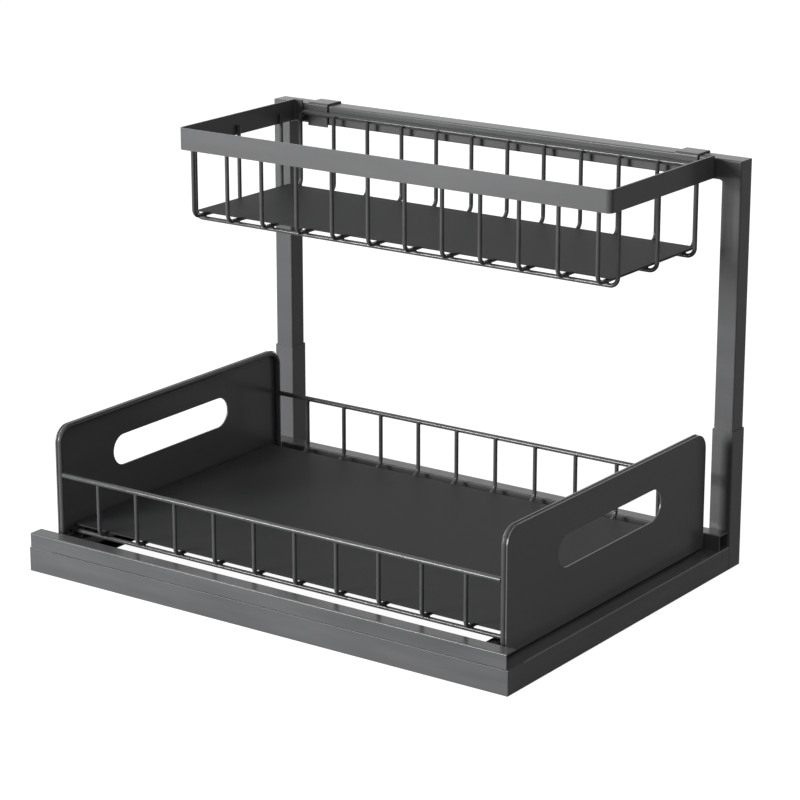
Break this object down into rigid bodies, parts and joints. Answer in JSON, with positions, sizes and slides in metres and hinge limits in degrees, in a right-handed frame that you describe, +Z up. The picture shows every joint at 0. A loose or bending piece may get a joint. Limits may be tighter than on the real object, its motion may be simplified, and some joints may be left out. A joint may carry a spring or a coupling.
{
  "type": "pull-out cabinet basket",
  "caption": "Two-tier pull-out cabinet organiser: a base frame with a rear post frame, a lower wire basket on a sliding tray and an upper wire basket hooked over the top beam.",
  "frame": {"origin": "middle of the base's underside, on the surface that it stands on", "axes": "+X to the right along the width, +Y toward the back where the posts stand, +Z up; the tray slides out toward -Y"},
  "size_m": [0.4, 0.3007, 0.2943],
  "materials": {
    "black_coated_sheet": "satin gun-metal black powder coat",
    "black_coated_wire": "semi-gloss black coat on round wire",
    "zinc_plated_steel": "zinc plated",
    "bearing_balls": "polished",
    "black_rubber": "matte"
  },
  "bodies": {
    "base": {"base_front_bar": "black_coated_sheet", "base_side_rail_left": "black_coated_sheet", "base_side_rail_right": "black_coated_sheet", "base_rear_crossbar": "black_coated_sheet", "post_sleeve_left": "black_coated_sheet", "post_sleeve_right": "black_coated_sheet", "post_left": "black_coated_sheet", "post_right": "black_coated_sheet", "top_beam": "black_coated_sheet", "slide_channel_left": "zinc_plated_steel", "slide_channel_right": "zinc_plated_steel", "slide_screws": "zinc_plated_steel", "slide_stop_pads": "black_rubber"},
    "tray": {"drawer_front_bar": "black_coated_sheet", "drawer_front_bracket_left": "black_coated_sheet", "drawer_front_bracket_right": "black_coated_sheet", "slide_runner_left": "zinc_plated_steel", "slide_runner_right": "zinc_plated_steel", "drawer_rear_strip": "black_coated_sheet"},
    "cage_left": {"ball_cage_left": "zinc_plated_steel", "slide_balls_left": "bearing_balls"},
    "cage_right": {"ball_cage_right": "zinc_plated_steel", "slide_balls_right": "bearing_balls"},
    "lower_basket": {"lower_side_panel_left": "black_coated_sheet", "lower_side_panel_right": "black_coated_sheet", "lower_rim_wire_left": "black_coated_wire", "lower_rim_wire_right": "black_coated_wire", "lower_front_wire": "black_coated_wire", "lower_back_wire": "black_coated_wire", "lower_hoops": "black_coated_wire", "lower_cross_wire_front": "black_coated_wire", "lower_cross_wire_back": "black_coated_wire", "lower_floor_panel": "black_coated_sheet"},
    "upper_basket": {"upper_rim_strip": "black_coated_sheet", "upper_back_rod": "black_coated_wire", "upper_hoops": "black_coated_wire", "upper_side_hoops": "black_coated_wire", "upper_floor_panel": "black_coated_sheet", "upper_hook_left": "black_coated_sheet", "upper_hook_right": "black_coated_sheet"}
  },
  "joints": [
    {"name": "tray_slide", "type": "slide", "parent": "base", "child": "tray", "axis": [0, -1, 0], "range_m": [0, 0.2]},
    {"name": "cage_left_slide", "type": "slide", "parent": "base", "child": "cage_left", "axis": [0, -1, 0], "range_m": [0, 0.1]},
    {"name": "cage_right_slide", "type": "slide", "parent": "base", "child": "cage_right", "axis": [0, -1, 0], "range_m": [0, 0.1]},
    {"name": "lower_basket_lift", "type": "slide", "parent": "tray", "child": "lower_basket", "axis": [0, 0, 1], "range_m": [0, 0.1]},
    {"name": "upper_basket_lift", "type": "slide", "parent": "base", "child": "upper_basket", "axis": [0, 0, 1], "range_m": [0, 0.06]}
  ],
  "couplings": [
    {"joint": "cage_left_slide", "follows": "tray_slide", "ratio": 0.5},
    {"joint": "cage_right_slide", "follows": "tray_slide", "ratio": 0.5}
  ]
}
